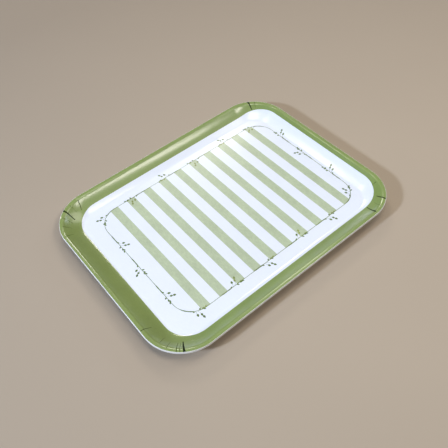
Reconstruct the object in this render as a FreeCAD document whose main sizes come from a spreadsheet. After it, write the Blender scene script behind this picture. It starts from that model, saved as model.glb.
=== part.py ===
import FreeCAD, Part

import math
import os

import Sketcher

# A pressed laminate serving tray. The rim flares up and out of a flat floor: a hollow cove, a slope that
# steepens gently, a rounded bend and a short lip, the same all the way round. Every layer is one bent sheet that
# lies face to face with the next, and a coat of its own seals the cut edge of the rim.
# X runs along the long side, Y along the short side, and the tray stands on z = 0.

DRIVING = {
    "floor_length": (361.2, "flat floor, long way"),
    "floor_width": (261.2, "flat floor, short way"),
    "floor_corner": (28.0, "corner radius of the flat floor"),
    "cove_radius": (12.0, "tight hollow bend where the rim leaves the floor, on the upper face"),
    "cove_angle": (22.5, "slope at the end of that bend, in degrees"),
    "slope_radius": (80.0, "long gentle hollow of the slope, on the upper face"),
    "slope_angle": (41.0, "steepest slope of the rim, in degrees"),
    "bend_radius": (8.0, "rounded bend from slope to lip, on the upper face"),
    "lip_angle": (8.0, "slope of the lip, in degrees"),
    "lip_length": (3.0, "straight stretch of the lip"),
    "overlay_ply": (0.15, "clear wear film"),
    "decor_ply": (0.2, "printed sheet"),
    "veneer_ply": (0.6, "each sheet of veneer"),
    "backing_ply": (0.25, "sheet under the tray"),
    "seal_coat": (0.35, "coat on the cut edge"),
}
PLIES = [
    ("clear_overlay", "overlay_ply"),
    ("decor_sheet", "decor_ply"),
    ("face_veneer", "veneer_ply"),
    ("upper_cross_veneer", "veneer_ply"),
    ("core_veneer", "veneer_ply"),
    ("lower_cross_veneer", "veneer_ply"),
    ("bottom_veneer", "veneer_ply"),
    ("backing_sheet", "backing_ply"),
]
QUARTER_TURN = 90.0

# How a sketch numbers the points of a curve, and its own origin.
START, END, CENTRE = 1, 2, 3
SKETCH_ORIGIN = (-1, 1)

document = FreeCAD.newDocument("serving_tray")
sheet = document.addObject("Spreadsheet::Sheet", "dims")
for row, (alias, (number, note)) in enumerate(DRIVING.items(), start=1):
    sheet.set(f"A{row}", note)
    sheet.set(f"B{row}", str(number))
    sheet.setAlias(f"B{row}", alias)
document.recompute()


class Size:
    """A size as the expression that binds it to the sheet, and as the number it comes to today."""

    def __init__(self, text, number):
        self.text = text
        self.number = number

    def __add__(self, other):
        return Size(f"({self.text} + {other.text})", self.number + other.number)

    def __sub__(self, other):
        return Size(f"({self.text} - {other.text})", self.number - other.number)

    def half(self):
        return Size(f"{self.text} / 2", self.number / 2)

    def negative(self):
        return Size(f"-{self.text}", -self.number)


def cell(alias):
    return Size(f"dims.{alias}", float(sheet.get(alias)))


SURFACE = Size("0", 0.0)
THICKNESS = SURFACE
for _, ply_cell in PLIES:
    THICKNESS = THICKNESS + cell(ply_cell)
CORNER_X = cell("floor_length").half() - cell("floor_corner")
CORNER_Y = cell("floor_width").half() - cell("floor_corner")


def origin_plane(body, role):
    return next(plane for plane in body.Origin.OriginFeatures if plane.Role == role)


def new_sketch(body, name, role, offset):
    """A sketch on one of the body's origin planes, moved by offset, which maps x, y or z to a size."""
    sketch = body.newObject("Sketcher::SketchObject", name)
    sketch.AttachmentSupport = (origin_plane(body, role), [""])
    sketch.MapMode = "FlatFace"
    for axis, size in offset.items():
        sketch.setExpression(f"AttachmentOffset.Base.{axis}", size.text)
    return sketch


def bind(sketch, name, kind, places, size, scale=1.0):
    """Adds a driving constraint and ties it to the sheet. A scale turns degrees into radians."""
    index = sketch.addConstraint(Sketcher.Constraint(kind, *places, size.number * scale))
    sketch.renameConstraint(index, name)
    sketch.setExpression(f"Constraints.{name}", size.text)


def join(sketch, pairs):
    """Makes points meet. Each pair is a curve and its point, then another curve and its point."""
    for first, first_point, second, second_point in pairs:
        sketch.addConstraint(Sketcher.Constraint("Coincident", first, first_point, second, second_point))


def section_point(depth, place):
    """A place on the rim's section at a depth below the upper face, measured from the axis of a corner.

    The places run outwards: foot, end of the cove, start of the bend, start of the lip, and edge.
    """

    def upward(alias):
        tilt = math.radians(cell(alias).number)
        return FreeCAD.Vector(-math.sin(tilt), math.cos(tilt))

    cove = cell("cove_radius").number
    slope = cell("slope_radius").number
    bend = cell("bend_radius").number
    lip_tilt = math.radians(cell("lip_angle").number)
    along_lip = FreeCAD.Vector(math.cos(lip_tilt), math.sin(lip_tilt))
    cove_centre = FreeCAD.Vector(cell("floor_corner").number, THICKNESS.number + cove)
    slope_centre = cove_centre + upward("cove_angle") * (slope - cove)
    bend_centre = slope_centre - upward("slope_angle") * (slope + bend)
    lip_start = bend_centre + upward("lip_angle") * (bend - depth)
    return {
        "cove_centre": cove_centre,
        "slope_centre": slope_centre,
        "bend_centre": bend_centre,
        "foot": cove_centre - FreeCAD.Vector(0, cove + depth),
        "cove": cove_centre - upward("cove_angle") * (cove + depth),
        "bend": slope_centre - upward("slope_angle") * (slope + depth),
        "lip": lip_start,
        "edge": lip_start + along_lip * cell("lip_length").number,
    }[place]


def arc_between(centre, start, end):
    """The arc from start to end, anticlockwise round centre."""
    circle = Part.Circle(centre, FreeCAD.Vector(0, 0, 1), (start - centre).Length)
    return Part.ArcOfCircle(circle, circle.parameter(start), circle.parameter(end))


def draw_face(sketch, depth, label):
    """One face of a ply in section: cove, slope, bend and lip, each tangent to the next."""
    foot, cove_end, bend_start, lip_start, edge = (
        section_point(depth.number, place) for place in ("foot", "cove", "bend", "lip", "edge")
    )
    cove_centre, slope_centre, bend_centre = (
        section_point(depth.number, place) for place in ("cove_centre", "slope_centre", "bend_centre")
    )
    cove = sketch.addGeometry(arc_between(cove_centre, foot, cove_end))
    slope = sketch.addGeometry(arc_between(slope_centre, cove_end, bend_start))
    bend = sketch.addGeometry(arc_between(bend_centre, lip_start, bend_start))
    lip = sketch.addGeometry(Part.LineSegment(lip_start, edge))
    for first, first_point, second, second_point in (
        (cove, END, slope, START),
        (slope, END, bend, END),
        (bend, START, lip, START),
    ):
        sketch.addConstraint(Sketcher.Constraint("Tangent", first, first_point, second, second_point))
    for arc, name, radius, turn in (
        (cove, "cove", cell("cove_radius") + depth, cell("cove_angle")),
        (slope, "slope", cell("slope_radius") + depth, cell("slope_angle") - cell("cove_angle")),
        (bend, "bend", cell("bend_radius") - depth, cell("slope_angle") - cell("lip_angle")),
    ):
        bind(sketch, f"{label}_{name}", "Radius", (arc,), radius)
        bind(sketch, f"{label}_{name}_turn", "Angle", (arc,), turn, math.radians(1))
    return cove, lip


def draw_section(sketch, above, below):
    """The closed section of a ply between two depths. The lip is cut square to its own slope.

    Returns the cut edge's line.
    """
    cove, lip = draw_face(sketch, above, "upper")
    under_cove, under_lip = draw_face(sketch, below, "lower")
    foot = sketch.addGeometry(
        Part.LineSegment(section_point(above.number, "foot"), section_point(below.number, "foot"))
    )
    edge = sketch.addGeometry(
        Part.LineSegment(section_point(above.number, "edge"), section_point(below.number, "edge"))
    )
    join(sketch, [(foot, START, cove, START), (foot, END, under_cove, START)])
    join(sketch, [(edge, START, lip, END), (edge, END, under_lip, END)])
    join(sketch, [(cove, CENTRE, under_cove, CENTRE)])
    sketch.addConstraint(Sketcher.Constraint("Vertical", foot))
    sketch.addConstraint(Sketcher.Constraint("Vertical", cove, START, cove, CENTRE))
    sketch.addConstraint(Sketcher.Constraint("Perpendicular", lip, edge))
    bind(sketch, "foot_out", "DistanceX", (*SKETCH_ORIGIN, cove, CENTRE), cell("floor_corner"))
    bind(sketch, "foot_up", "DistanceY", (*SKETCH_ORIGIN, cove, CENTRE), THICKNESS + cell("cove_radius"))
    bind(sketch, "lip_run", "Distance", (lip,), cell("lip_length"))
    return edge


def draw_seal(sketch):
    """The coat in section: an even layer on the cut edge of the whole laminate."""
    laminate_edge = draw_section(sketch, SURFACE, THICKNESS)
    for index in range(sketch.GeometryCount):
        sketch.setConstruction(index, True)
    top = section_point(SURFACE.number, "edge")
    bottom = section_point(THICKNESS.number, "edge")
    along_lip = FreeCAD.Vector(bottom.y - top.y, top.x - bottom.x).normalize() * -1
    top_out = top + along_lip * cell("seal_coat").number
    bottom_out = bottom + along_lip * cell("seal_coat").number
    cut = sketch.addGeometry(Part.LineSegment(top, bottom))
    upper = sketch.addGeometry(Part.LineSegment(top, top_out))
    lower = sketch.addGeometry(Part.LineSegment(bottom, bottom_out))
    face = sketch.addGeometry(Part.LineSegment(top_out, bottom_out))
    join(sketch, [(cut, START, laminate_edge, START), (cut, END, laminate_edge, END)])
    join(sketch, [(upper, START, cut, START), (lower, START, cut, END)])
    join(sketch, [(face, START, upper, END), (face, END, lower, END)])
    sketch.addConstraint(Sketcher.Constraint("Perpendicular", cut, upper))
    sketch.addConstraint(Sketcher.Constraint("Parallel", upper, lower))
    sketch.addConstraint(Sketcher.Constraint("Parallel", cut, face))
    bind(sketch, "coat", "Distance", (upper,), cell("seal_coat"))


def pad(body, name, sketch, length):
    feature = body.newObject("PartDesign::Pad", name)
    feature.Profile = sketch
    feature.setExpression("Length", length.text)
    return feature


def add_floor(body, above, below):
    """A quarter of a ply's flat floor."""
    half_length = cell("floor_length").half()
    half_width = cell("floor_width").half()
    middle = FreeCAD.Vector()
    end_middle = FreeCAD.Vector(half_length.number, 0)
    corner_start = FreeCAD.Vector(half_length.number, CORNER_Y.number)
    corner_centre = FreeCAD.Vector(CORNER_X.number, CORNER_Y.number)
    corner_end = FreeCAD.Vector(CORNER_X.number, half_width.number)
    side_middle = FreeCAD.Vector(0, half_width.number)
    sketch = new_sketch(body, "floor_outline", "XY_Plane", {"z": THICKNESS - below})
    along_x = sketch.addGeometry(Part.LineSegment(middle, end_middle))
    end = sketch.addGeometry(Part.LineSegment(end_middle, corner_start))
    corner = sketch.addGeometry(arc_between(corner_centre, corner_start, corner_end))
    side = sketch.addGeometry(Part.LineSegment(corner_end, side_middle))
    along_y = sketch.addGeometry(Part.LineSegment(side_middle, middle))
    join(sketch, [(along_x, START, *SKETCH_ORIGIN), (along_x, END, end, START)])
    join(sketch, [(side, END, along_y, START), (along_y, END, along_x, START)])
    sketch.addConstraint(Sketcher.Constraint("Tangent", end, END, corner, START))
    sketch.addConstraint(Sketcher.Constraint("Tangent", corner, END, side, START))
    for line in (along_x, side):
        sketch.addConstraint(Sketcher.Constraint("Horizontal", line))
    for line in (end, along_y):
        sketch.addConstraint(Sketcher.Constraint("Vertical", line))
    bind(sketch, "half_length", "Distance", (along_x,), half_length)
    bind(sketch, "half_width", "Distance", (along_y,), half_width)
    bind(sketch, "corner_round", "Radius", (corner,), cell("floor_corner"))
    return pad(body, "floor", sketch, below - above)


def add_rim(body, draw):
    """A quarter of the rim: half of an end, half of a long side and the corner between them."""
    end_sketch = new_sketch(body, "end_section", "XZ_Plane", {"x": CORNER_X, "z": CORNER_Y.negative()})
    draw(end_sketch)
    side_sketch = new_sketch(body, "side_section", "YZ_Plane", {"x": CORNER_Y})
    draw(side_sketch)
    end = pad(body, "end_half", end_sketch, CORNER_Y)
    side = pad(body, "side_half", side_sketch, CORNER_X)
    corner = body.newObject("PartDesign::Revolution", "corner")
    corner.Profile = end_sketch
    corner.ReferenceAxis = (end_sketch, ["V_Axis"])
    corner.Angle = QUARTER_TURN
    return [end, side, corner]


def mirror_quarter(body, features):
    """Completes a piece from its quarter, across both middle planes."""
    mirrors = []
    for name, role in (("other_end", "YZ_Plane"), ("other_side", "XZ_Plane")):
        mirror = document.addObject("PartDesign::Mirrored", name)
        mirror.MirrorPlane = (origin_plane(body, role), [""])
        mirrors.append(mirror)
    whole = body.newObject("PartDesign::MultiTransform", "whole")
    whole.Originals = features
    whole.Transformations = mirrors
    body.Tip = whole


def add_ply(label, above, below):
    body = document.addObject("PartDesign::Body", label)
    body.Label = label
    floor = add_floor(body, above, below)
    rim = add_rim(body, lambda sketch: draw_section(sketch, above, below))
    mirror_quarter(body, [floor, *rim])
    return body


def add_edge_seal():
    body = document.addObject("PartDesign::Body", "edge_seal")
    body.Label = "edge_seal"
    mirror_quarter(body, add_rim(body, draw_seal))
    return body


def checked(pieces):
    """Stops unless every object was worked out and every piece is one sound solid."""
    document.recompute()
    failed = [item.Name for item in document.Objects if {"Invalid", "Error"} & set(item.State)]
    loose = [item.Name for item in document.Objects if hasattr(item, "DoF") and item.DoF]
    unsound = [
        piece.Label
        for piece in pieces
        if piece.Shape.isNull() or not piece.Shape.isValid() or len(piece.Shape.Solids) != 1
    ]
    if failed or loose or unsound:
        raise RuntimeError(f"failed {failed}, not fully constrained {loose}, unsound {unsound}")
    return pieces


def add_tray():
    pieces = []
    depth = SURFACE
    for label, ply_cell in PLIES:
        pieces.append(add_ply(label, depth, depth + cell(ply_cell)))
        depth = depth + cell(ply_cell)
    pieces.append(add_edge_seal())
    return checked(pieces)


os.makedirs("parts", exist_ok=True)
for piece in add_tray():
    piece.Shape.exportStep(f"parts/{piece.Label}.step")
    print(piece.Label, round(piece.Shape.Volume, 2), "mm3")
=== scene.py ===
import math
import random

import bpy
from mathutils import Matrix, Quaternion, Vector
from mathutils.geometry import delaunay_2d_cdt


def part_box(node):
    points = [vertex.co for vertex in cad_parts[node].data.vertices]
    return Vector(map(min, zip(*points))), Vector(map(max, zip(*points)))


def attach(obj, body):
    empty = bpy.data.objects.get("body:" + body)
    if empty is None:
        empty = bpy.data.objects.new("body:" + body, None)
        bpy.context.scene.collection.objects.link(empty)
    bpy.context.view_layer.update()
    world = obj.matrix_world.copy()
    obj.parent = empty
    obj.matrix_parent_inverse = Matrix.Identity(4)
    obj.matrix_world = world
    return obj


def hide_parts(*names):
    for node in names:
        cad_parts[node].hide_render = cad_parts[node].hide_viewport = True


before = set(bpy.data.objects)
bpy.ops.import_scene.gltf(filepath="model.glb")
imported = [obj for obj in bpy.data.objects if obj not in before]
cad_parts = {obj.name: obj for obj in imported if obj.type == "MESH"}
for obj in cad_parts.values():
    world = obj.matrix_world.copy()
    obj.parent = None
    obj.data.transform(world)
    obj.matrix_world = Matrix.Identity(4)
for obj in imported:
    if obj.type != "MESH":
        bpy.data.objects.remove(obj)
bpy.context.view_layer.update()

# A pressed laminate serving tray. Its printed sheet, backing and sealed edge are built here as fine meshes
# on the section that the frame has. A place on a sheet is given as (x, y) on the sheet laid flat, measured
# from the middle of the tray, and bent_point carries it up the rim. Lengths are in metres.
MM = 0.001

# The section of the rim on its upper face, from the floor outwards.
FLOOR_CORNER = 28 * MM
COVE_RADIUS = 12 * MM
SLOPE_RADIUS = 80 * MM
BEND_RADIUS = 8 * MM
LIP_LENGTH = 3 * MM
COVE_ANGLE = math.radians(22.5)
SLOPE_ANGLE = math.radians(41)
LIP_ANGLE = math.radians(8)

# The layers that are built again here, by their depths below the upper face.
SKIN = 0.35 * MM
BACKING = 0.25 * MM
SEAL_COAT = 0.35 * MM
OVERLAY = 0.15 * MM

# Flat runs outside the floor's edge at which each stretch of the section ends.
COVE_END = COVE_RADIUS * COVE_ANGLE
SLOPE_END = COVE_END + SLOPE_RADIUS * (SLOPE_ANGLE - COVE_ANGLE)
BEND_END = SLOPE_END + BEND_RADIUS * (SLOPE_ANGLE - LIP_ANGLE)
SHEET_END = BEND_END + LIP_LENGTH


def section(run):
    """How far out and up the upper face is, and how steep, at a flat run outside the floor's edge."""
    if run <= 0:
        return run, 0.0, 0.0
    tilt = min(run, COVE_END) / COVE_RADIUS
    out = COVE_RADIUS * math.sin(tilt)
    up = COVE_RADIUS * (1 - math.cos(tilt))
    if run > COVE_END:
        tilt = COVE_ANGLE + (min(run, SLOPE_END) - COVE_END) / SLOPE_RADIUS
        out += SLOPE_RADIUS * (math.sin(tilt) - math.sin(COVE_ANGLE))
        up += SLOPE_RADIUS * (math.cos(COVE_ANGLE) - math.cos(tilt))
    if run > SLOPE_END:
        tilt = SLOPE_ANGLE - (min(run, BEND_END) - SLOPE_END) / BEND_RADIUS
        out += BEND_RADIUS * (math.sin(SLOPE_ANGLE) - math.sin(tilt))
        up += BEND_RADIUS * (math.cos(tilt) - math.cos(SLOPE_ANGLE))
    if run > BEND_END:
        out += (run - BEND_END) * math.cos(LIP_ANGLE)
        up += (run - BEND_END) * math.sin(LIP_ANGLE)
    return out, up, tilt


# The floor's edge and height, worked out from the frame.
RIM_RUN = section(SHEET_END)[0] + OVERLAY * math.sin(LIP_ANGLE)
HALF_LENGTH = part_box("clear_overlay")[1].x - RIM_RUN
HALF_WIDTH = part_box("clear_overlay")[1].y - RIM_RUN
FLOOR_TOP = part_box("clear_overlay")[0].z + OVERLAY
THICKNESS = FLOOR_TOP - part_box("backing_sheet")[0].z
AXIS_X = HALF_LENGTH - FLOOR_CORNER
AXIS_Y = HALF_WIDTH - FLOOR_CORNER


def split(x, y):
    """The nearest point of the rectangle through the four corner axes, the way out from it and the reach."""
    base = Vector((max(-AXIS_X, min(AXIS_X, x)), max(-AXIS_Y, min(AXIS_Y, y))))
    away = Vector((x, y)) - base
    reach = away.length
    return base, away / reach if reach > 0 else Vector((0, 0)), reach


def sheet_run(x, y):
    """The flat run outside the floor's edge, negative on the floor."""
    return split(x, y)[2] - FLOOR_CORNER


def bent_point(x, y, depth):
    """The place in the frame of a flat place at a depth below the upper face."""
    base, way, reach = split(x, y)
    out, up, tilt = section(reach - FLOOR_CORNER)
    level = FLOOR_CORNER + out + depth * math.sin(tilt)
    ground = base + way * (level if reach > FLOOR_CORNER else reach)
    return Vector((ground.x, ground.y, FLOOR_TOP + up - depth * math.cos(tilt)))


# --- Shapes drawn on the flat sheet ---------------------------------------------------------------


# How finely an outline's corners and sides are divided.
CORNER_STEPS = 24
SIDE_STEP = 10 * MM


def rounded_rectangle(low, high, radius):
    """A closed outline, anticlockwise from its lower right corner, with points along its sides."""
    centres = (
        (high.x - radius, low.y + radius),
        (high.x - radius, high.y - radius),
        (low.x + radius, high.y - radius),
        (low.x + radius, low.y + radius),
    )
    points = []
    for turn, centre in enumerate(centres):
        for step in range(CORNER_STEPS + 1):
            angle = math.radians(-90 + 90 * turn + 90 * step / CORNER_STEPS)
            points.append(Vector(centre) + radius * Vector((math.cos(angle), math.sin(angle))))
    outline = []
    for here, there in zip(points, points[1:] + points[:1]):
        parts = max(1, round((there - here).length / SIDE_STEP))
        outline += [here.lerp(there, part / parts) for part in range(parts)]
    return outline


def ring(run):
    """The outline on the flat sheet at a run outside the floor's edge."""
    half = Vector((HALF_LENGTH + run, HALF_WIDTH + run))
    return rounded_rectangle(-half, half, FLOOR_CORNER + run)


# How many steps each side of a leaf has, how far its widest place is drawn to the foot, and how full it is.
LEAF_STEPS = 6
LEAF_SKEW = 0.8
LEAF_FULLNESS = 0.8


def leaf(foot, angle, length, width):
    """A pointed leaf that starts at foot and points along angle, widest a little short of its middle."""
    along = Vector((math.cos(angle), math.sin(angle)))
    across = Vector((-along.y, along.x))
    sides = []
    for side in (-1, 1):
        for step in range(LEAF_STEPS + 1):
            share = step / LEAF_STEPS if side < 0 else 1 - step / LEAF_STEPS
            bulge = width / 2 * math.sin(math.pi * share ** LEAF_SKEW) ** LEAF_FULLNESS
            sides.append(foot + along * length * share + across * side * bulge)
    # Both sides hold the tip and the foot, so one of each is left out.
    doubled = (LEAF_STEPS, 2 * LEAF_STEPS + 1)
    return [point for index, point in enumerate(sides) if index not in doubled]


def ribbon(points, widths):
    """The outline of a line of varying width through some points."""
    left, right = [], []
    for index, (point, width) in enumerate(zip(points, widths)):
        ahead = points[min(index + 1, len(points) - 1)] - points[max(index - 1, 0)]
        across = Vector((-ahead.y, ahead.x)).normalized() * width / 2
        left.append(point + across)
        right.append(point - across)
    return right + left[::-1]


# --- The print ------------------------------------------------------------------------------------

# The print sits off the middle of the tray, mostly towards +X. The vine's line frames the stripes.
PRINT_CENTRE = Vector((11.7, 2.6)) * MM
PANEL_HALF = Vector((194.6, 142.4)) * MM
PANEL_CORNER = 40.5 * MM
VINE_HALF = Vector((167.2, 115.3)) * MM
VINE_CORNER = 33 * MM
VINE_LINE = 0.8 * MM
VINE_STRAIGHT = VINE_HALF - Vector((VINE_CORNER, VINE_CORNER))
VINE_BEND = VINE_CORNER * math.pi / 2
VINE_LOOP = 4 * (VINE_STRAIGHT.x + VINE_STRAIGHT.y + VINE_BEND)

STRIPES_SHIFT = 2.2 * MM
STRIPES = 10
STRIPE_PITCH = 30.6 * MM
STRIPE_WIDTH = 13.8 * MM
FOOT_HEIGHT = 0.9 * MM

# The vine grows anticlockwise. Every repeat has a sprig inside the line and then one outside it. The sprigs
# are not quite even: they lag by a steady part, and by a part that sways twice on the way round the loop.
VINE_SEED = 7
VINE_REPEATS = 9
SPRIG_INSIDE = 10.5 * MM
SPRIG_OUTSIDE = 66.5 * MM
SPRIG_LAG = 3 * MM
SPRIG_SWAY = 4 * MM
SWAY_PEAK = 150 * MM
SWAYS = 2

# A sprig's stems, and the foot, lean and length of each of its leaves. A place is how far it has gone along
# the vine's heading and how far it has risen off the vine, in millimetres. A leaf on the line has no rise.
STEMS = [
    [(-3, 0), (-1.6, 1.6), (-0.8, 4.8)],
    [(0.5, 0), (2.6, 2.2), (4.6, 4.9), (6.6, 8.8)],
]
STEM_WIDTH = 0.3 * MM
SPRIG_LEAVES = [((-0.8, 4.5), 70, 4.9), ((4.5, 4.7), 68, 4.6), ((6.3, 8.7), 62, 4.8)]
LINE_LEAVES = [(-7, 30, 3.8), (3.6, -55, 4.0), (8.0, -22, 4.4), (9.6, 24, 3.6), (12.5, -32, 4.2)]

# A leaf's width as a share of its length, how far chance turns it in degrees, and how far chance moves it
# along the line in millimetres.
SPRIG_LEAF_WIDTH = 0.66
SPRIG_LEAF_TURN = 7
LINE_LEAF_WIDTH = 0.58
LINE_LEAF_TURN = 8
LINE_LEAF_SHIFT = 0.7

# Where the vine thickens before a sprig: how far from it, and how wide there, in millimetres.
RUNNER = [(-25, 0.4), (-21, 1.3), (-17, 1.6), (-12, 1.3), (-8, 1.7), (-4, 0.6)]


def print_box(half, corner, grow=0.0):
    """A rounded rectangle of the print, made larger all round by grow."""
    size = half + Vector((grow, grow))
    return rounded_rectangle(PRINT_CENTRE - size, PRINT_CENTRE + size, corner + grow)


def stripes():
    """The wide bars across the panel, which end on the vine."""
    first = PRINT_CENTRE.x + STRIPES_SHIFT - (STRIPE_PITCH * (STRIPES - 1) + STRIPE_WIDTH) / 2
    bottom = PRINT_CENTRE.y - VINE_HALF.y
    top = PRINT_CENTRE.y + VINE_HALF.y
    for number in range(STRIPES):
        left = first + number * STRIPE_PITCH
        right = left + STRIPE_WIDTH
        yield [Vector((left, bottom)), Vector((right, bottom)), Vector((right, top)), Vector((left, top))]


def stripe_feet():
    """The darker ends of the stripes, where the vine runs over them."""
    for left_low, right_low, right_high, left_high in stripes():
        rise = Vector((0, FOOT_HEIGHT))
        yield [left_low, right_low, right_low + rise, left_low + rise]
        yield [left_high - rise, right_high - rise, right_high, left_high]


def vine_place(length):
    """The point and the heading at a length along the vine, from the middle of its right-hand side."""
    left = (length + VINE_STRAIGHT.y) % VINE_LOOP
    heading = math.pi / 2
    corner = VINE_STRAIGHT.copy()
    for side in (VINE_STRAIGHT.y, VINE_STRAIGHT.x) * 2:
        along = Vector((math.cos(heading), math.sin(heading)))
        outward = Vector((along.y, -along.x))
        if left < 2 * side:
            return PRINT_CENTRE + corner + outward * VINE_CORNER + along * (left - 2 * side), heading
        left -= 2 * side
        if left < VINE_BEND:
            turned = left / VINE_CORNER
            angle = heading - math.pi / 2 + turned
            spoke = Vector((math.cos(angle), math.sin(angle)))
            return PRINT_CENTRE + corner + spoke * VINE_CORNER, heading + turned
        left -= VINE_BEND
        heading += math.pi / 2
        # The next corner anticlockwise has the signs that a quarter turn gives.
        corner = Vector(
            (math.copysign(VINE_STRAIGHT.x, -corner.y), math.copysign(VINE_STRAIGHT.y, corner.x))
        )
    return PRINT_CENTRE + corner, heading


def sprig(length, side, chance):
    """A sprig of larger leaves at a length along the vine, and the leaves and the thicker vine round it.

    side is 1 for a sprig on the inside and -1 for one on the outside.
    """
    shapes = []
    for gap, lean, size in LINE_LEAVES:
        shift = chance.uniform(-LINE_LEAF_SHIFT, LINE_LEAF_SHIFT)
        point, heading = vine_place(length + (gap + shift) * MM)
        angle = heading + side * math.radians(lean + chance.uniform(-LINE_LEAF_TURN, LINE_LEAF_TURN))
        shapes.append(leaf(point, angle, size * MM, LINE_LEAF_WIDTH * size * MM))
    runner = [vine_place(length + gap * MM)[0] for gap, _ in RUNNER]
    shapes.append(ribbon(runner, [width * MM for _, width in RUNNER]))
    start, heading = vine_place(length)
    along = Vector((math.cos(heading), math.sin(heading)))
    inward = Vector((-along.y, along.x)) * side
    for stem in STEMS:
        places = [start + (along * gone + inward * rise) * MM for gone, rise in stem]
        shapes.append(ribbon(places, [STEM_WIDTH] * len(places)))
    for (gone, rise), lean, size in SPRIG_LEAVES:
        foot = start + (along * gone + inward * rise) * MM
        angle = heading + side * math.radians(lean + chance.uniform(-SPRIG_LEAF_TURN, SPRIG_LEAF_TURN))
        shapes.append(leaf(foot, angle, size * MM, SPRIG_LEAF_WIDTH * size * MM))
    return shapes


def vine_leaves():
    """The outlines of all the leaves, stems and thicker stretches on the vine."""
    chance = random.Random(VINE_SEED)
    for repeat in range(VINE_REPEATS):
        for gap, side in ((SPRIG_INSIDE, 1), (SPRIG_OUTSIDE, -1)):
            length = VINE_LOOP * repeat / VINE_REPEATS + gap
            sway = SPRIG_SWAY * math.cos(SWAYS * 2 * math.pi * (length - SWAY_PEAK) / VINE_LOOP)
            yield from sprig(length - SPRIG_LAG - sway, side, chance)


# --- Pleats ---------------------------------------------------------------------------------------

# Where the sheet gathered as the corners were pressed: outer end, inner end, width at the outer end and
# depth, all in millimetres, with the places on the flat sheet.
PLEAT_PLACES = [
    ((-192, 156.5), (-183, 135), 3.3, 0.20),
    ((-161.5, 162), (-165, 146), 1.5, 0.12),
    ((-178, 160), (-174, 146), 0.8, 0.06),
    ((-201, 145), (-189, 130), 0.9, 0.08),
    ((-209, 128), (-195, 122), 1.0, 0.08),
    ((-213, 107), (-199, 110), 1.0, 0.08),
    ((187.6, 160), (183, 142), 3.4, 0.20),
    ((196.5, 150), (190.5, 141), 1.3, 0.12),
    ((156.5, -165), (162.5, -142), 3.2, 0.20),
    ((172, -162), (175, -146), 0.8, 0.06),
    ((188.7, -159), (187.4, -140), 2.8, 0.18),
    ((208, -122.5), (201, -119.5), 1.3, 0.12),
    ((-191.5, -157.5), (-179.5, -136), 3.7, 0.20),
    ((-196, -153), (-183, -136), 0.9, 0.08),
    ((-199.5, -149.5), (-186, -134), 1.3, 0.12),
    ((-206, -136), (-193, -127), 0.9, 0.08),
    ((-207, -122), (-194, -116), 0.8, 0.08),
    ((-218, -93.3), (-200, -93.3), 1.3, 0.12),
]
PLEATS = [(Vector(outer), Vector(inner), width, depth) for outer, inner, width, depth in PLEAT_PLACES]

# A pleat that is wider than this, in millimetres, gets a nearly black painted shadow. A narrower one gets a
# lighter painted shade.
DEEP_PLEAT = 1.4

# A pleat's relief: how far to its side it reaches, and the shares of its length between which it is there
# and between which it fades. The groove's width is a share of the pleat's width, and the height of the fold
# beside it is a share of the groove's depth.
PLEAT_REACH = 5 * MM
PLEAT_SPAN = (-0.3, 1.2)
PLEAT_FADE = (0.55, 1.15)
GROOVE_WIDTH = 0.3
FOLD_PLACE = 1.5 * MM
FOLD_WIDTH = 0.9 * MM
FOLD_HEIGHT = 0.5

# Faint ripples round the corners: how high, how many radians of wave in a radian of corner, and the shares
# of the slope between which they grow. What stands up fades between the last two shares, below the bend.
RIPPLE_HEIGHT = 0.012 * MM
RIPPLE_WAVES = (31, 47)
RIPPLE_GROWTH = (0.2, 0.6)
LIFT_FADE = (0.7, 1.0)

# A pleat's dark sliver of painted shadow: how many steps it has, how far its middle bows in millimetres,
# how wide its thin end is as a share of its wide one, and how fast it thins. It stops a margin short of the
# sheet's edge.
SHADOW_STEPS = 10
SHADOW_BOW = 0.35
SHADOW_THIN_END = 0.38
SHADOW_TAPER = 1.3
EDGE_MARGIN = 0.02 * MM


def to_pleat(point, outer, inner):
    """How far along a pleat a point is, as a share, and how far to its side."""
    line = (inner - outer) * MM
    gone = point - outer * MM
    return gone.dot(line) / line.length_squared, line.cross(gone) / line.length


def fade(value, start, end):
    """1 up to start, smoothly down to 0 at end."""
    share = max(0.0, min(1.0, (value - start) / (end - start)))
    return 1 - share * share * (3 - 2 * share)


def fade_up_slope(run, shares):
    """1 up to the first share of the slope's run, smoothly down to 0 at the second."""
    return fade(run, shares[0] * SLOPE_END, shares[1] * SLOPE_END)


def relief(x, y):
    """How far the sheet stands above its true face: a groove with a fold beside it at each pleat."""
    run = sheet_run(x, y)
    if run < 0:
        return 0.0
    height = 0.0
    for outer, inner, width, depth in PLEATS:
        share, side = to_pleat(Vector((x, y)), outer, inner)
        if abs(side) > PLEAT_REACH or not PLEAT_SPAN[0] < share < PLEAT_SPAN[1]:
            continue
        strength = depth * MM * fade(share, *PLEAT_FADE)
        groove = math.exp(-((side / (GROOVE_WIDTH * width * MM)) ** 2))
        fold = math.exp(-(((side - FOLD_PLACE) / FOLD_WIDTH) ** 2))
        height += strength * (FOLD_HEIGHT * fold - groove)
    _, way, _ = split(x, y)
    if abs(way.x * way.y) > 0:
        angle = math.atan2(abs(way.y), abs(way.x))
        corner = math.sin(2 * angle) ** 0.5 * (1 - fade_up_slope(run, RIPPLE_GROWTH))
        # The way's own terms make each corner's ripples differ from the others'.
        ripple = math.sin(RIPPLE_WAVES[0] * angle + 2 * way.x)
        ripple += math.sin(RIPPLE_WAVES[1] * angle - 3 * way.y)
        height += RIPPLE_HEIGHT * corner * ripple
    return min(height, 0.0) + max(height, 0.0) * fade_up_slope(run, LIFT_FADE)


def on_sheet(point):
    """The point, or the nearest one just inside the sheet's edge."""
    base, way, reach = split(*point)
    return base + way * min(reach, FLOOR_CORNER + SHEET_END - EDGE_MARGIN)


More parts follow.
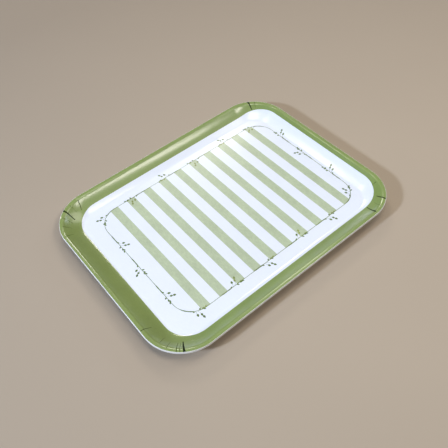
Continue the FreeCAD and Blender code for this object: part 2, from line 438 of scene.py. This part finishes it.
def pleat_shadow(outer, inner, width):
    """The dark sliver of painted shadow where a pleat folds under: wide at the lip, thin towards the panel.
    """
    bow = (inner - outer).orthogonal().normalized() * SHADOW_BOW * MM
    points, widths = [], []
    for step in range(SHADOW_STEPS + 1):
        place = outer.lerp(inner, step / SHADOW_STEPS) * MM
        points.append(place + bow * math.sin(math.pi * step / SHADOW_STEPS))
        wide_share = (1 - step / SHADOW_STEPS) ** SHADOW_TAPER
        widths.append(width * MM * (SHADOW_THIN_END + (1 - SHADOW_THIN_END) * wide_share))
    return [on_sheet(point) for point in ribbon(points, widths)]


# --- Sheets ---------------------------------------------------------------------------------------


# The rows of edges on each stretch of a bent sheet: where the stretch starts and ends, and how many rows.
ROWS = (
    (-6 * MM, 0, 2),
    (0, COVE_END, 8),
    (COVE_END, SLOPE_END, 16),
    (SLOPE_END, BEND_END, 10),
    (BEND_END, SHEET_END, 3),
)

# The points on the floor: how far apart, and how far they stay inside its edge.
GRID_PITCH = 12 * MM
GRID_MARGIN = 10 * MM

# A line of edges along a pleat: how far inside the outer end it starts and how far past the inner end it
# stops, in millimetres, and its number of parts.
PLEAT_LINE_START = 1.5
PLEAT_LINE_OVERRUN = 2
PLEAT_LINE_PARTS = 12

# The cutting: keep the triangles inside the shapes, and join points that are closer than this.
CUT_INSIDE = 1
CUT_JOIN = 1e-7

# The gap across which a bent sheet's own slope is measured.
SLOPE_GAP = 0.02 * MM


def sheet_rows():
    """Runs at which a bent sheet has a row of edges, closer together where it bends more."""
    for start, end, count in ROWS:
        for step in range(count):
            yield start + (end - start) * step / count


class FlatDrawing:
    """Points, edges and filled shapes on the flat sheet, cut into triangles that keep every outline."""

    def __init__(self):
        self.points = []
        self.edges = []
        self.shapes = []
        self.kinds = []

    def add(self, outline, kind):
        """A filled shape of a kind."""
        first = len(self.points)
        self.points += outline
        self.shapes.append(list(range(first, len(self.points))))
        self.kinds.append(kind)

    def add_loop(self, outline):
        """A closed row of edges."""
        first = len(self.points)
        self.points += outline
        count = len(outline)
        self.edges += [(first + step, first + (step + 1) % count) for step in range(count)]

    def add_line(self, start, end, parts):
        """An open row of edges."""
        first = len(self.points)
        self.points += [start.lerp(end, step / parts) for step in range(parts + 1)]
        self.edges += [(first + step, first + step + 1) for step in range(parts)]

    def triangles(self):
        """The points, the triangles, and for each triangle the kinds of shape that it lies in."""
        points, _, faces, _, _, sources = delaunay_2d_cdt(
            self.points, self.edges, self.shapes, CUT_INSIDE, CUT_JOIN
        )
        kinds = [{self.kinds[source] for source in found} for found in sources]
        return points, [list(face) for face in faces], kinds


def floor_grid():
    """Points all over the floor, so that its triangles stay even."""
    columns = int(HALF_LENGTH / GRID_PITCH)
    rows = int(HALF_WIDTH / GRID_PITCH)
    for column in range(-columns, columns + 1):
        for row in range(-rows, rows + 1):
            point = Vector((column, row)) * GRID_PITCH
            if sheet_run(*point) < -GRID_MARGIN:
                yield point


def tray_drawing(pleat_lines):
    """The whole sheet with its rows of edges, its floor's points, and lines along each pleat.

    Each number in pleat_lines makes a line to the pleat's side. It is that many times half a millimetre and
    half the pleat's width away.
    """
    drawing = FlatDrawing()
    drawing.add(ring(SHEET_END), "sheet")
    for run in sheet_rows():
        drawing.add_loop(ring(run))
    drawing.points += list(floor_grid())
    for outer, inner, width, _ in PLEATS:
        line = (inner - outer).normalized()
        across = line.orthogonal()
        for gap in pleat_lines:
            shift = across * gap * (0.5 + 0.5 * width)
            start = on_sheet((outer + shift + line * PLEAT_LINE_START) * MM)
            end = (inner + shift + line * PLEAT_LINE_OVERRUN) * MM
            drawing.add_line(start, end, PLEAT_LINE_PARTS)
    return drawing


def no_relief(x, y):
    return 0.0


def bent_sheet(name, drawing, above, below, lift, sink, material_of, materials):
    """A closed sheet between two depths.

    lift and sink tell how far its upper and lower faces rise at a flat place, and material_of gives the
    number of a triangle's material from the kinds of shape that hold it.
    """

    def place(x, y, depth, rise):
        return bent_point(x, y, depth - rise(x, y))

    def facing(x, y, depth, rise):
        along_x = place(x + SLOPE_GAP, y, depth, rise) - place(x - SLOPE_GAP, y, depth, rise)
        along_y = place(x, y + SLOPE_GAP, depth, rise) - place(x, y - SLOPE_GAP, depth, rise)
        return along_x.cross(along_y).normalized()

    points, faces, kinds = drawing.triangles()
    count = len(points)
    upper = [place(*point, above, lift) for point in points]
    lower = [place(*point, below, sink) for point in points]
    # An edge that only one triangle has is on the sheet's border. A dictionary keeps them in order.
    border = {}
    for face in faces:
        for here, there in zip(face, face[1:] + face[:1]):
            if (there, here) in border:
                del border[(there, here)]
            else:
                border[(here, there)] = True
    under = [[index + count for index in reversed(face)] for face in faces]
    walls = [[here, here + count, there + count, there] for here, there in border]
    mesh = bpy.data.meshes.new(name)
    mesh.from_pydata(upper + lower, [], faces + under + walls)
    for material in materials:
        mesh.materials.append(material)
    face_materials = [material_of(found) for found in kinds]
    wall_materials = [0] * len(walls)
    for polygon, number in zip(mesh.polygons, face_materials + face_materials + wall_materials):
        polygon.material_index = number
        polygon.use_smooth = True
    normals = [facing(*point, above, lift) for point in points]
    normals += [-facing(*point, below, sink) for point in points]
    by_corner = []
    for polygon in mesh.polygons:
        wall = polygon.index >= 2 * len(faces)
        by_corner += [polygon.normal.copy() if wall else normals[index] for index in polygon.vertices]
    mesh.normals_split_custom_set(by_corner)
    piece = bpy.data.objects.new(name, mesh)
    bpy.context.scene.collection.objects.link(piece)
    return piece


# --- Materials ------------------------------------------------------------------------------------


def new_material(name):
    """A node material, its tree, its shader and coordinates in metres that are fixed to the object."""
    material = bpy.data.materials.new(name)
    material.use_nodes = True
    tree = material.node_tree
    coordinates = tree.nodes.new("ShaderNodeTexCoord")
    return material, tree, tree.nodes["Principled BSDF"], coordinates.outputs["Object"]


def noise(tree, where, scale, detail=3.0, roughness=0.5, stretch=(1, 1, 1)):
    """Noise with about this many waves in a metre."""
    mapping = tree.nodes.new("ShaderNodeMapping")
    mapping.inputs["Scale"].default_value = stretch
    texture = tree.nodes.new("ShaderNodeTexNoise")
    texture.inputs["Scale"].default_value = scale
    texture.inputs["Detail"].default_value = detail
    texture.inputs["Roughness"].default_value = roughness
    tree.links.new(where, mapping.inputs["Vector"])
    tree.links.new(mapping.outputs["Vector"], texture.inputs["Vector"])
    return texture.outputs["Fac"]


def between(tree, factor, low, high, start=0.35, end=0.65):
    """Colours from low to high as the factor goes from start to end."""
    ramp = tree.nodes.new("ShaderNodeValToRGB")
    ramp.color_ramp.elements[0].position = start
    ramp.color_ramp.elements[0].color = (*low, 1)
    ramp.color_ramp.elements[1].position = end
    ramp.color_ramp.elements[1].color = (*high, 1)
    tree.links.new(factor, ramp.inputs["Fac"])
    return ramp.outputs["Color"]


def multiply(tree, first, second):
    """Two colours multiplied."""
    mix = tree.nodes.new("ShaderNodeMix")
    mix.data_type = "RGBA"
    mix.blend_type = "MULTIPLY"
    mix.inputs["Factor"].default_value = 1
    tree.links.new(first, mix.inputs["A"])
    tree.links.new(second, mix.inputs["B"])
    return mix.outputs["Result"]


def spread(tree, factor, low, high):
    """A number from low to high."""
    span = tree.nodes.new("ShaderNodeMapRange")
    span.inputs["To Min"].default_value = low
    span.inputs["To Max"].default_value = high
    tree.links.new(factor, span.inputs["Value"])
    return span.outputs["Result"]


def bump(tree, shader, height, distance):
    """Fine relief on the shader's face, this deep in metres."""
    node = tree.nodes.new("ShaderNodeBump")
    node.inputs["Distance"].default_value = distance
    node.inputs["Strength"].default_value = 1.0
    tree.links.new(height, node.inputs["Height"])
    tree.links.new(node.outputs["Normal"], shader.inputs["Normal"])


def shade(colour, share):
    """The colour made darker or lighter."""
    return tuple(part * share for part in colour)


# How rough the printed face is: in general, and in the creases, which have no gloss.
SATIN = (0.3, 0.42)
DULL = (0.6, 0.7)


def printed(name, colour, mottle, flecks, roughness=SATIN, coat=0.9):
    """Ink on paper under clear melamine: cloudy, faintly fibrous, and satin with a fine orange peel."""
    material, tree, shader, where = new_material(name)
    clouds = noise(tree, where, 24, 4, 0.55)
    fibres = noise(tree, where, 700, 2, 0.6, (1, 0.35, 1))
    cloudy = between(tree, clouds, shade(colour, 1 - mottle), shade(colour, 1 + mottle))
    fibrous = between(tree, fibres, (1 - flecks,) * 3, (1 + flecks,) * 3)
    tree.links.new(multiply(tree, cloudy, fibrous), shader.inputs["Base Color"])
    tree.links.new(spread(tree, noise(tree, where, 60, 3), *roughness), shader.inputs["Roughness"])
    shader.inputs["Specular IOR Level"].default_value = 0.5 if coat > 0 else 0.15
    shader.inputs["Coat Weight"].default_value = coat
    shader.inputs["Coat IOR"].default_value = 1.55
    shader.inputs["Coat Roughness"].default_value = 0.17
    bump(tree, shader, noise(tree, where, 420, 2), 0.03 * MM)
    return material


def lacquer(name, colour):
    """Thick brushed lacquer, slightly uneven, a little dull where hands wear it."""
    material, tree, shader, where = new_material(name)
    clouds = noise(tree, where, 90, 3)
    tree.links.new(between(tree, clouds, shade(colour, 0.95), colour), shader.inputs["Base Color"])
    tree.links.new(spread(tree, noise(tree, where, 45, 3), 0.28, 0.42), shader.inputs["Roughness"])
    bump(tree, shader, noise(tree, where, 260, 3), 0.08 * MM)
    return material


BIRCH_DARK = (0.50, 0.34, 0.18)
BIRCH_LIGHT = (0.68, 0.50, 0.31)
BIRCH_FIGURE = (0.88, 0.86, 0.82)
BIRCH_PORE = (0.72, 0.66, 0.58)
PLAIN = (1, 1, 1)


def veneer(name, along_x):
    """Birch veneer: long fine grain, pores and a slow change of tone."""
    material, tree, shader, where = new_material(name)
    stretch = (0.06, 1, 1) if along_x else (1, 0.06, 1)
    grain = noise(tree, where, 420, 6, 0.6, stretch)
    figure = noise(tree, where, 40, 3, 0.5, stretch)
    pores = noise(tree, where, 1600, 2, 0.5, stretch)
    wood = between(tree, grain, BIRCH_DARK, BIRCH_LIGHT, 0.3, 0.7)
    tone = between(tree, figure, BIRCH_FIGURE, PLAIN)
    fleck = between(tree, pores, BIRCH_PORE, PLAIN, 0.25, 0.4)
    wood = multiply(tree, wood, tone)
    tree.links.new(multiply(tree, wood, fleck), shader.inputs["Base Color"])
    tree.links.new(spread(tree, grain, 0.5, 0.75), shader.inputs["Roughness"])
    bump(tree, shader, grain, 0.06 * MM)
    return material


RIM_GREEN = (0.22, 0.295, 0.082)
STRIPE_GREEN = (0.46, 0.53, 0.357)
LINE_GREEN = (0.18, 0.25, 0.10)
VINE_GREEN = (0.10, 0.165, 0.035)
OVERPRINT_GREEN = (0.24, 0.29, 0.075)
FOOT_GREEN = (0.27, 0.33, 0.13)
PANEL_WHITE = (0.80, 0.84, 0.925)
# Painted shade for the narrow creases and painted shadow for the deep pleats, not ink colours.
CREASE_PAINTED_SHADE = (0.08, 0.115, 0.025)
PLEAT_PAINTED_SHADOW = (0.018, 0.030, 0.005)
SEAL_WHITE = (0.88, 0.88, 0.86)
BACKING_WHITE = (0.60, 0.60, 0.58)

# What each kind of shape on the drawing is printed in. The crease and pleat materials are not ink but
# painted shade and painted shadow in the folds. Of the kinds that hold a triangle, the last wins.
INKS = {
    "sheet": printed("rim_print", RIM_GREEN, 0.05, 0.04),
    "panel": printed("panel_print", PANEL_WHITE, 0.01, 0.01),
    "stripe": printed("stripe_print", STRIPE_GREEN, 0.05, 0.07),
    "line": printed("line_print", LINE_GREEN, 0.2, 0.1),
    "foot": printed("stripe_foot_print", FOOT_GREEN, 0.2, 0.1),
    "leaf": printed("vine_print", VINE_GREEN, 0.2, 0.1),
    "leaf on stripe": printed("vine_on_stripe_print", OVERPRINT_GREEN, 0.2, 0.1),
    "crease": printed("crease_painted_shade", CREASE_PAINTED_SHADE, 0.3, 0.1, DULL, 0.0),
    "pleat": printed("pleat_painted_shadow", PLEAT_PAINTED_SHADOW, 0.3, 0.1, DULL, 0.0),
}
INK_ORDER = list(INKS)


def ink_of(kinds):
    """The ink of a triangle. The line is only the edge of its own shape, and the stripes end on it."""
    if {"leaf", "stripe"} <= kinds:
        kinds = kinds | {"leaf on stripe"}
    if "inside line" in kinds:
        kinds = kinds - {"line"}
    else:
        kinds = kinds - {"stripe", "foot", "leaf on stripe"}
    return max(INK_ORDER.index(kind) for kind in kinds if kind in INKS)


# --- Pieces ---------------------------------------------------------------------------------------


# The lines of edges along each pleat. The printed face has a fold on one side, so they reach further there.
FACE_PLEAT_LINES = (-1.6, -1.0, -0.6, 0.0, 0.6, 1.0, 1.6, 2.6)
BACKING_PLEAT_LINES = (-1.0, 0.0, 1.0)

# How much of a pleat's groove shows on the underside, as a share of its depth.
BACKING_ECHO = 0.5

# The coat on the cut edge: how round its outer edges are, and in how many steps.
SEAL_ROUNDING = 0.3 * MM
SEAL_STEPS = 6
SEAL_SHARP_ANGLE = math.radians(40)


def make_printed_face():
    """The print, its paper and the clear film over it, as one sheet."""
    drawing = tray_drawing(FACE_PLEAT_LINES)
    drawing.add(print_box(PANEL_HALF, PANEL_CORNER), "panel")
    drawing.add(print_box(VINE_HALF, VINE_CORNER, VINE_LINE / 2), "line")
    drawing.add(print_box(VINE_HALF, VINE_CORNER, -VINE_LINE / 2), "inside line")
    for outline in stripes():
        drawing.add(outline, "stripe")
    for outline in stripe_feet():
        drawing.add(outline, "foot")
    for outline in vine_leaves():
        drawing.add(outline, "leaf")
    # The pleats' dark slivers are painted shadow and painted shade, laid over the print.
    for outer, inner, width, _ in PLEATS:
        drawing.add(pleat_shadow(outer, inner, width), "pleat" if width > DEEP_PLEAT else "crease")
    piece = bent_sheet("printed_face", drawing, 0.0, SKIN, relief, no_relief, ink_of, list(INKS.values()))
    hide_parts("clear_overlay", "decor_sheet")
    return piece


def make_white_backing():
    """The plain sheet under the tray, which the pleats show through faintly."""
    drawing = tray_drawing(BACKING_PLEAT_LINES)
    piece = bent_sheet(
        "white_backing",
        drawing,
        THICKNESS - BACKING,
        THICKNESS,
        no_relief,
        lambda x, y: max(0.0, -BACKING_ECHO * relief(x, y)),
        lambda kinds: 0,
        [lacquer("backing_white", BACKING_WHITE)],
    )
    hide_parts("backing_sheet")
    return piece


def seal_profile():
    """The coat's section: how far each point is along the lip's slope and down from the upper face."""
    profile = [Vector((0, 0))]
    for centre_down, first in ((SEAL_ROUNDING, -90), (THICKNESS - SEAL_ROUNDING, 0)):
        for step in range(SEAL_STEPS + 1):
            angle = math.radians(first + 90 * step / SEAL_STEPS)
            spoke = Vector((math.cos(angle), math.sin(angle))) * SEAL_ROUNDING
            profile.append(Vector((SEAL_COAT - SEAL_ROUNDING, centre_down)) + spoke)
    return profile + [Vector((0, THICKNESS))]


def make_sealed_edge():
    """The white coat round the cut edge: its section carried along the edge."""
    profile = seal_profile()
    outline = ring(SHEET_END)
    out, up, tilt = section(SHEET_END)
    points = []
    for place in outline:
        base, way, _ = split(*place)
        for along, down in profile:
            reach = FLOOR_CORNER + out + along * math.cos(tilt) + down * math.sin(tilt)
            ground = base + way * reach
            height = FLOOR_TOP + up + along * math.sin(tilt) - down * math.cos(tilt)
            points.append((ground.x, ground.y, height))
    count, around = len(profile), len(outline)
    faces = []
    for number in range(around):
        here = number * count
        there = (number + 1) % around * count
        for step in range(count):
            after = (step + 1) % count
            faces.append([here + after, there + after, there + step, here + step])
    mesh = bpy.data.meshes.new("sealed_edge")
    mesh.from_pydata(points, [], faces)
    mesh.materials.append(lacquer("seal_white", SEAL_WHITE))
    for polygon in mesh.polygons:
        polygon.use_smooth = True
    mesh.set_sharp_from_angle(angle=SEAL_SHARP_ANGLE)
    piece = bpy.data.objects.new("sealed_edge", mesh)
    bpy.context.scene.collection.objects.link(piece)
    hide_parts("edge_seal")
    return piece


def finish_veneers():
    """The sheets of the core keep their own shapes and get their wood."""
    along = veneer("birch_along", True)
    across = veneer("birch_across", False)
    for node, wood in (
        ("face_veneer", along),
        ("upper_cross_veneer", across),
        ("core_veneer", along),
        ("lower_cross_veneer", across),
        ("bottom_veneer", along),
    ):
        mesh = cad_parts[node].data
        mesh.materials.clear()
        mesh.materials.append(wood)


# --- Stage ----------------------------------------------------------------------------------------

# Each lamp's direction from the tray, its sides, its share of the light on the floor and its colour. The key
# lamp is small and casts the shadow on the right. The others are wide, and their reflections light the rim.
LAMP_DISTANCE = 3.0
WARM = (1.0, 0.945, 0.87)
LAMPS = {
    "key": (Vector((-0.86, 0.12, 0.50)), (0.26, 0.26), 0.47, (0.66, 0.79, 1.0)),
    "top": (Vector((0.02, -0.02, 1.0)), (1.1, 1.1), 0.22, WARM),
    "front": (Vector((0.27, -0.53, 0.79)), (1.4, 0.38), 0.21, WARM),
    "right": (Vector((0.64, 0.0, 0.77)), (1.1, 1.2), 0.13, WARM),
    "high": (Vector((-0.08, 0.45, 0.89)), (0.7, 0.4), 0.065, WARM),
    "back": (Vector((0.43, 0.70, 0.57)), (0.7, 0.5), 0.09, WARM),
    "side": (Vector((0.91, 0.0, 0.42)), (1.1, 0.7), 0.05, (0.75, 0.87, 1.0)),
}
AMBIENT_LOW = (0.13, 0.13, 0.13)
AMBIENT_HIGH = (0.05, 0.05, 0.05)
GROUND = (0.445, 0.369, 0.288)
GROUND_HALF = 6.0

# A painted pool of light: the ground's colour is a little darker away from this place, between these two
# distances.
PAINTED_LIGHT_POOL_PLACE = (0.15, -0.2, 0.0)
PAINTED_LIGHT_POOL_REACH = (0.2, 0.9)
PAINTED_LIGHT_POOL_TONES = ((1.0, 1.0, 1.0), (0.78, 0.78, 0.79))

CAMERA_PLACE = Vector((-0.3103, -0.4228, 0.6255))
CAMERA_TARGET = Vector((-0.01415, -0.01722, 0.0))
CAMERA_ROLL = math.radians(-4.54)
CAMERA_LENS = 42.82


def make_floor():
    """The plain ground, faintly mottled, with a painted pool of light round the tray."""
    material, tree, shader, where = new_material("studio_ground")
    clouds = noise(tree, where, 3, 2)
    mottled = between(tree, clouds, shade(GROUND, 0.985), GROUND)
    # The painted pool of light: the ground's colour darkens with distance from the pool's place.
    offset = tree.nodes.new("ShaderNodeVectorMath")
    offset.operation = "DISTANCE"
    offset.inputs[1].default_value = PAINTED_LIGHT_POOL_PLACE
    tree.links.new(where, offset.inputs[0])
    painted_light_pool = between(tree, offset.outputs["Value"], *PAINTED_LIGHT_POOL_TONES, *PAINTED_LIGHT_POOL_REACH)
    tree.links.new(multiply(tree, mottled, painted_light_pool), shader.inputs["Base Color"])
    shader.inputs["Roughness"].default_value = 0.9
    shader.inputs["Specular IOR Level"].default_value = 0.1
    mesh = bpy.data.meshes.new("studio_floor")
    corners = [(x * GROUND_HALF, y * GROUND_HALF, 0) for x, y in ((-1, -1), (1, -1), (1, 1), (-1, 1))]
    mesh.from_pydata(corners, [], [(0, 1, 2, 3)])
    mesh.materials.append(material)
    floor = bpy.data.objects.new("studio_floor", mesh)
    bpy.context.scene.collection.objects.link(floor)


def make_lamps():
    """The lamps, each as strong as its share of the light on a white floor that would look white."""
    for name, (way, (wide, high), share, colour) in LAMPS.items():
        direction = way.normalized()
        light = bpy.data.lights.new(name, "AREA")
        light.shape = "RECTANGLE"
        light.size = wide
        light.size_y = high
        light.energy = share * (math.pi * LAMP_DISTANCE) ** 2 / direction.z
        light.color = colour
        lamp = bpy.data.objects.new(name, light)
        lamp.location = direction * LAMP_DISTANCE
        lamp.rotation_mode = "QUATERNION"
        lamp.rotation_quaternion = direction.to_track_quat("Z", "Y")
        bpy.context.scene.collection.objects.link(lamp)


def make_surroundings():
    """A studio with dim walls and a darker ceiling."""
    world = bpy.data.worlds.new("studio")
    world.use_nodes = True
    tree = world.node_tree
    where = tree.nodes.new("ShaderNodeTexCoord")
    parts = tree.nodes.new("ShaderNodeSeparateXYZ")
    tree.links.new(where.outputs["Generated"], parts.inputs["Vector"])
    sky = between(tree, parts.outputs["Z"], AMBIENT_LOW, AMBIENT_HIGH, 0.0, 0.8)
    tree.links.new(sky, tree.nodes["Background"].inputs["Color"])
    bpy.context.scene.world = world


def make_camera():
    """The camera at the photograph's angle, turned a little about its own axis as the photograph is."""
    lens = bpy.data.cameras.new("camera")
    lens.lens = CAMERA_LENS
    camera = bpy.data.objects.new("camera", lens)
    camera.location = CAMERA_PLACE
    camera.rotation_mode = "QUATERNION"
    aim = (CAMERA_TARGET - CAMERA_PLACE).to_track_quat("-Z", "Y")
    camera.rotation_quaternion = aim @ Quaternion((0, 0, 1), CAMERA_ROLL)
    bpy.context.scene.collection.objects.link(camera)
    bpy.context.scene.camera = camera


make_floor()
make_lamps()
make_surroundings()
make_camera()
finish_veneers()
for piece in (make_printed_face(), make_white_backing(), make_sealed_edge()):
    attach(piece, "root")
bpy.context.scene.view_settings.view_transform = "Standard"
